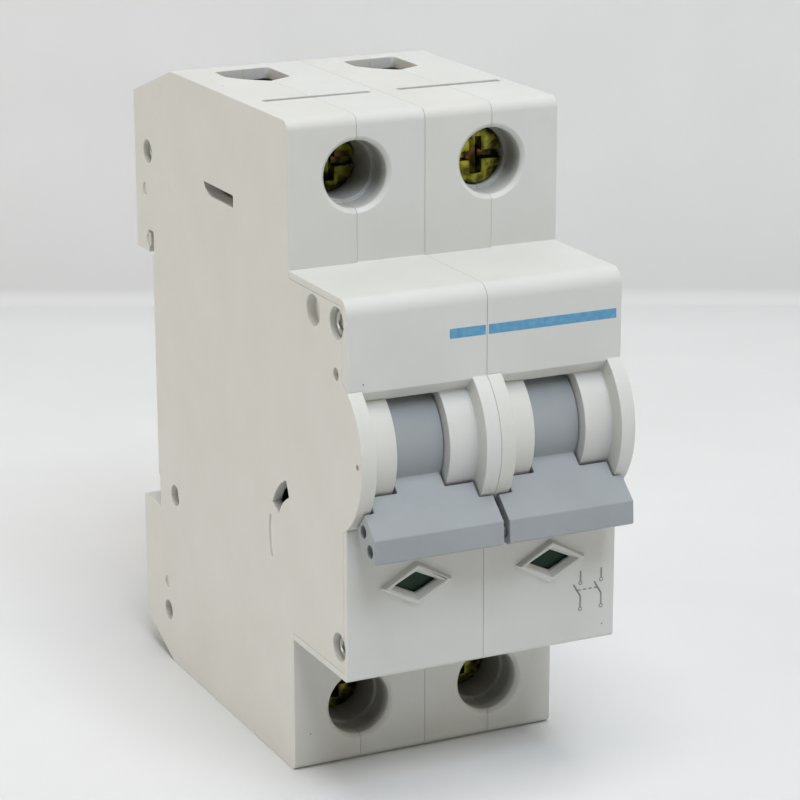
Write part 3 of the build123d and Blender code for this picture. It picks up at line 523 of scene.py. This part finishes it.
def braid_tree():
    """Strands round the start line: every other one is wound the other way, and all wave in and out."""
    tree, given = geometry_tree("woven_braid", {
        "Strands": int, "Radius": float, "Strand radius": float, "Turns": float,
        "Material": bpy.types.Material})
    line = add(tree, "GeometryNodeMeshToCurve", {"Mesh": given["Geometry"]})
    fine = add(tree, "GeometryNodeResampleCurve", {"Curve": line.outputs["Curve"], "Count": 90})
    frame_up = add(tree, "GeometryNodeInputNormal")
    along = add(tree, "GeometryNodeInputTangent")
    across = add(tree, "ShaderNodeVectorMath", {
        0: frame_up.outputs["Normal"], 1: along.outputs["Tangent"]}, operation="CROSS_PRODUCT")
    share = add(tree, "GeometryNodeSplineParameter")
    copies = add(tree, "GeometryNodeDuplicateElements", {
        "Geometry": fine.outputs["Curve"], "Amount": given["Strands"]}, domain="SPLINE")
    number = copies.outputs["Duplicate Index"]
    odd = add(tree, "ShaderNodeMath", {0: number, 1: 2.0}, operation="MODULO")
    way = add(tree, "ShaderNodeMath", {0: odd.outputs["Value"], 1: -2.0, 2: 1.0}, operation="MULTIPLY_ADD")
    first = add(tree, "ShaderNodeMath", {0: number, 1: given["Strands"]}, operation="DIVIDE")
    wound = add(tree, "ShaderNodeMath", {0: share.outputs["Factor"], 1: given["Turns"]}, operation="MULTIPLY")
    signed = add(tree, "ShaderNodeMath", {
        0: wound.outputs["Value"], 1: way.outputs["Value"]}, operation="MULTIPLY")
    turned = add(tree, "ShaderNodeMath", {
        0: signed.outputs["Value"], 1: first.outputs["Value"]}, operation="ADD")
    angle = add(tree, "ShaderNodeMath", {0: turned.outputs["Value"], 1: 2 * math.pi}, operation="MULTIPLY")
    side = add(tree, "ShaderNodeMath", {0: angle.outputs["Value"]}, operation="COSINE")
    rise = add(tree, "ShaderNodeMath", {0: angle.outputs["Value"]}, operation="SINE")
    weave = add(tree, "ShaderNodeMath", {0: angle.outputs["Value"], 1: 3.0}, operation="MULTIPLY")
    wave = add(tree, "ShaderNodeMath", {0: weave.outputs["Value"]}, operation="SINE")
    crest = add(tree, "ShaderNodeMath", {
        0: wave.outputs["Value"], 1: given["Strand radius"]}, operation="MULTIPLY")
    reach = add(tree, "ShaderNodeMath", {0: crest.outputs["Value"], 1: given["Radius"]}, operation="ADD")
    parts = [add(tree, "ShaderNodeVectorMath", {0: axis, "Scale": amount.outputs["Value"]}, operation="SCALE")
             for axis, amount in ((frame_up.outputs["Normal"], side), (across.outputs["Vector"], rise))]
    ray = add(tree, "ShaderNodeVectorMath", {
        0: parts[0].outputs["Vector"], 1: parts[1].outputs["Vector"]}, operation="ADD")
    offset = add(tree, "ShaderNodeVectorMath", {
        0: ray.outputs["Vector"], "Scale": reach.outputs["Value"]}, operation="SCALE")
    moved = add(tree, "GeometryNodeSetPosition", {
        "Geometry": copies.outputs["Geometry"], "Offset": offset.outputs["Vector"]})
    section = add(tree, "GeometryNodeCurvePrimitiveCircle", {
        "Resolution": 6, "Radius": given["Strand radius"]})
    wires = add(tree, "GeometryNodeCurveToMesh", {
        "Curve": moved.outputs["Geometry"], "Profile Curve": section.outputs["Curve"], "Fill Caps": True})
    close_tree(tree, wires.outputs["Mesh"], given["Material"])
    return tree


HELIX, RIVETS, BRAID = helix_tree(), rivet_tree(), braid_tree()


def helix(turns, radius, length, wire, material, along, start, sides=12):
    """A wire helix that starts at a point and winds along a direction."""
    mesh = grow(HELIX, {"Turns": turns, "Radius": radius, "Length": length, "Wire radius": wire,
                        "Sides": sides, "Material": material})
    turn = Vector((0, 0, 1)).rotation_difference(Vector(along)).to_matrix().to_4x4()
    mesh.transform(Matrix.Translation(start) @ turn)
    return mesh


def joined(meshes):
    """Several meshes as one, with doubled vertices merged."""
    work = bmesh.new()
    for mesh in meshes:
        work.from_mesh(mesh)
    bmesh.ops.remove_doubles(work, verts=work.verts, dist=0.001 * MM)
    result = bpy.data.meshes.new("joined")
    work.to_mesh(result)
    work.free()
    return result


def straight_wire(start, end, radius):
    """A straight round wire with closed ends."""
    curve = bpy.data.curves.new("wire", "CURVE")
    curve.dimensions = "3D"
    curve.bevel_depth = radius
    curve.bevel_resolution = 3
    curve.use_fill_caps = True
    spline = curve.splines.new("POLY")
    spline.points.add(1)
    for point, place in zip(spline.points, (start, end)):
        point.co = (*place, 1.0)
    holder = bpy.data.objects.new("wire", curve)
    mesh = bpy.data.meshes.new_from_object(holder)
    bpy.data.objects.remove(holder)
    return mesh


# ------------------------------------------------------------------ terminal screws
SHANK_L = 12.0 * MM           # length of a terminal screw below its head
CORE_R = 2.1 * MM             # radius at the root of its thread
RIDGE_MID = 2.06 * MM         # radius of the middle line of the thread's ridge
RIDGE_R = 0.33 * MM           # radius of the ridge itself
THREAD_L = 11.4 * MM          # threaded length, 14.2 turns at a pitch of 0.8 mm


def screw_head(node, neck):
    """The head of a screw node, cut off at its neck and with softened edges."""
    mesh = NODES[node].data.copy()
    work = bmesh.new()
    work.from_mesh(mesh)
    bmesh.ops.remove_doubles(work, verts=work.verts, dist=MERGE)
    cut = bmesh.ops.bisect_plane(work, geom=work.verts[:] + work.edges[:] + work.faces[:],
                                 plane_co=(0, neck + 0.02 * MM, 0), plane_no=(0, 1, 0), clear_outer=True)
    rim = [part for part in cut["geom_cut"] if isinstance(part, bmesh.types.BMEdge)]
    bmesh.ops.contextual_create(work, geom=rim)
    mark_sharp(work)
    work.to_mesh(mesh)
    work.free()
    holder = bpy.data.objects.new("head", mesh)
    bpy.context.scene.collection.objects.link(holder)
    bevel = holder.modifiers.new("edge", "BEVEL")
    bevel.limit_method = "WEIGHT"
    bevel.width = HEAD_EDGE
    bevel.segments = 3
    bevel.use_clamp_overlap = False
    bpy.context.view_layer.update()
    head = bpy.data.meshes.new_from_object(holder.evaluated_get(bpy.context.evaluated_depsgraph_get()))
    bpy.data.objects.remove(holder)
    return head


def terminal_screw(node):
    """A screw with its head, and a rolled thread on the shank below it."""
    axis = middle(node)
    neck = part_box(node)[1].y - SHANK_L
    head = screw_head(node, neck)
    thread = helix(14.2, RIDGE_MID, THREAD_L, RIDGE_R, SCREW_ZINC, (0, 1, 0),
                   (axis.x, neck + 0.3 * MM, axis.z), sides=4)
    work = bmesh.new()
    length = SHANK_L - 0.1 * MM
    bmesh.ops.create_cone(work, cap_ends=True, segments=32, radius1=CORE_R, radius2=CORE_R, depth=length)
    core = bpy.data.meshes.new("core")
    work.to_mesh(core)
    work.free()
    place = Matrix.Translation((axis.x, neck + length / 2, axis.z))
    core.transform(place @ Matrix.Rotation(math.pi / 2, 4, "X"))
    piece = new_piece(f"{node}_threaded", joined([head, thread, core]), BODY_OF[node], SCREW_ZINC, 40)
    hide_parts(node)


for pole in POLES:
    for end in ("top", "bottom"):
        terminal_screw(f"screw_{end}_{pole}")


# ------------------------------------------------------------------ rivets, windings, springs and braids
# y and z of each rivet, and the radius of its rolled end, in millimetres
RIVET_PLACES = ((-57.2, 19.3, 1.70), (-57.2, -19.3, 1.55), (1.0, 28.1, 1.35), (-5.75, -16.3, 1.25),
                (-2.4, -33.2, 1.15))


def rivets():
    """Rolled ends of the tubular rivets, in the counterbores at both sides."""
    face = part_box("case_rivets")[1].x - 0.30 * MM
    ends = [(side * face, y * MM, z * MM, radius * MM) for y, z, radius in RIVET_PLACES for side in (-1, 1)]
    start = bpy.data.meshes.new("rivet_places")
    start.from_pydata([end[:3] for end in ends], [], [])
    sizes = start.attributes.new("size", "FLOAT", "POINT")
    for size, end in zip(sizes.data, ends):
        size.value = end[3]
    rolled = grow(RIVETS, {"Roll radius": 0.26, "Material": ZINC}, start)
    piece = new_piece("rivet_ends", rolled, "housing", ZINC, 50)
    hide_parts("case_rivets")


rivets()


def coil(pole):
    """Six turns of bare copper wire and the tail that leaves them."""
    low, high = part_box(f"coil_{pole}")
    x, z, wire = (low.x + high.x) / 2, low.z + 5.4 * MM, 0.93 * MM
    turns = helix(6.0, 4.42 * MM, 10.2 * MM, wire, COPPER, (0, 1, 0), (x, low.y + wire, z), sides=16)
    y = high.y - 0.6 * MM
    tail = straight_wire((x, y, high.z - 6.9 * MM), (x, y, high.z - 0.05 * MM), 0.6 * MM)
    piece = new_piece(f"coil_{pole}_winding", joined([turns, tail]), "housing", COPPER, 60)
    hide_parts(f"coil_{pole}")


def arm_spring(pole):
    """Torsion spring on the arm's pivot, with the leg that rests on the housing."""
    low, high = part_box(f"arm_spring_{pole}")
    y, z, wire, radius = (low.y + high.y) / 2, high.z - 2.3 * MM, 0.30 * MM, 1.88 * MM
    wound = helix(4.0, radius, 1.8 * MM, wire, SPRING_STEEL, (1, 0, 0), (low.x + 0.32 * MM, y, z))
    x = low.x + 0.36 * MM
    leg = straight_wire((x, y + radius, z), (x, y + radius, low.z), wire)
    piece = new_piece(f"arm_spring_{pole}_wound", joined([wound, leg]), "housing", SPRING_STEEL, 60)
    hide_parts(f"arm_spring_{pole}")


# the braid's middle line from the bimetal to the arm: x from the pole's middle, y and z, in millimetres
BRAID_ROUTE = ((-3.9, -33.3, -11.0), (-3.9, -32.3, -11.4), (-3.9, -31.2, -11.0), (-3.9, -30.3, -9.4),
               (-3.9, -30.2, -8.0), (-3.9, -30.9, -6.6), (-3.9, -32.0, -5.2), (-3.9, -33.0, -4.2))


def braid(pole):
    """Woven copper braid along its route."""
    line = bpy.data.meshes.new("braid_route")
    points = [(POLE_X[pole] + x * MM, y * MM, z * MM) for x, y, z in BRAID_ROUTE]
    line.from_pydata(points, [(i, i + 1) for i in range(len(points) - 1)], [])
    woven = grow(BRAID, {"Strands": 16, "Radius": 0.58 * MM, "Strand radius": 0.11 * MM, "Turns": 2.0,
                         "Material": COPPER}, line)
    piece = new_piece(f"braid_{pole}_woven", woven, "housing", COPPER, 60)
    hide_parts(f"braid_{pole}")


for pole in POLES:
    coil(pole)
    arm_spring(pole)
    braid(pole)


def return_springs():
    """Compression springs behind both plungers."""
    low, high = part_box("plunger_springs")
    z = (low.z + high.z) / 2
    wound = [helix(7.0, 1.40 * MM, 6.5 * MM, 0.28 * MM, SPRING_STEEL, (0, 1, 0), (x, low.y + 0.3 * MM, z))
             for x in POLE_X.values()]
    piece = new_piece("plunger_springs_wound", joined(wound), "housing", SPRING_STEEL, 60)
    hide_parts("plunger_springs")


return_springs()


# ------------------------------------------------------------------ prints on the front
def print_piece(name, bars, material):
    """Thin ink bars (x, z, x, z, width) in millimetres, just proud of the face under the first one."""
    work = bmesh.new()
    x, z = (bars[0][0] + bars[0][2]) / 2, (bars[0][1] + bars[0][3]) / 2
    start = Vector((x * MM, NOSE_Y - 10 * MM, z * MM))
    casts = [moulding.ray_cast(start, Vector((0, 1, 0))) for moulding in MOULDINGS.values()]
    surface = min(place.y for hit, place, normal, index in casts if hit)
    front, back = surface - INK_OUT, surface + INK_IN
    for x0, z0, x1, z1, width in bars:
        run = Vector((x1 - x0, 0, z1 - z0))
        side = Vector((-run.z, 0, run.x)).normalized() * width / 2
        ends = (Vector((x0, 0, z0)), Vector((x1, 0, z1)))
        corners = (ends[0] - side, ends[1] - side, ends[1] + side, ends[0] + side)
        outer, inner = [[work.verts.new((c.x * MM, y, c.z * MM)) for c in corners] for y in (front, back)]
        work.faces.new(outer)
        work.faces.new(inner[::-1])
        for i in range(4):
            work.faces.new((outer[i], inner[i], inner[i - 3], outer[i - 3]))
    bmesh.ops.recalc_face_normals(work, faces=work.faces)
    mesh = bpy.data.meshes.new(name)
    work.to_mesh(mesh)
    work.free()
    piece = new_piece(name, mesh, "housing", material, smooth_angle=None)


def circle_bars(x, z, radius, width):
    """A small ring of ink as twelve short bars."""
    turns = [2 * math.pi * i / 12 for i in range(13)]
    ring = [(x + radius * math.cos(turn), z + radius * math.sin(turn)) for turn in turns]
    return [(*first, *second, width) for first, second in zip(ring, ring[1:])]


def stripe():
    """A plain stripe across both noses, with a gap at the joint between the poles."""
    z, width = 17.2, 1.15
    return [(-4.74, z, -0.2, z, width), (0.2, z, 16.77, z, width)]


print_piece("stripe_print", stripe(), BLUE_INK)


def switch_symbol():
    """Plain wiring symbol of a two-pole switch: contacts, moving arms and the link between them."""
    bars = []
    for x in (12.9, 15.7):
        bars += [(x, -14.0, x, -15.3, 0.22), (x, -17.2, x, -18.6, 0.22), (x, -17.2, x - 0.95, -15.6, 0.22)]
        bars += circle_bars(x, -15.5, 0.22, 0.12) + circle_bars(x, -18.8, 0.22, 0.12)
    bars += [(x, -16.4, x + 0.45, -16.4, 0.16) for x in (12.5, 13.25, 14.0, 14.75)]
    return bars


print_piece("symbol_print", switch_symbol(), GREY_INK)


# ------------------------------------------------------------------ finishes of the CAD nodes that stay
def finish_nodes():
    """Gives every CAD node that no piece replaces its material, by the start of its name."""
    finish = {
        "clamp": ZINC, "bus_plate": COPPER, "fixed_contact": COPPER, "contact_arm": COPPER,
        "coil_bobbin": INNER_PLASTIC, "coil_yoke": ZINC, "arm_tip": SILVER, "toggle_link": SPRING_STEEL,
        "latch": ZINC, "trip_lever": INNER_PLASTIC, "plunger": ZINC, "bimetal": BIMETAL, "arc_plates": ZINC,
        "chute_frame": FIBRE, "lower_runner": ZINC, "flag": FLAG, "rail_clip": CLIP_PLASTIC,
        "tie_pins": ZINC, "trip_bar": ZINC, "pivot_pins": ZINC, "calibration_screws": SCREW_ZINC}
    for name, node in NODES.items():
        if node.hide_render:
            continue
        key = next(start for start in finish if name.startswith(start))
        node.data.materials.clear()
        node.data.materials.append(finish[key])


finish_nodes()
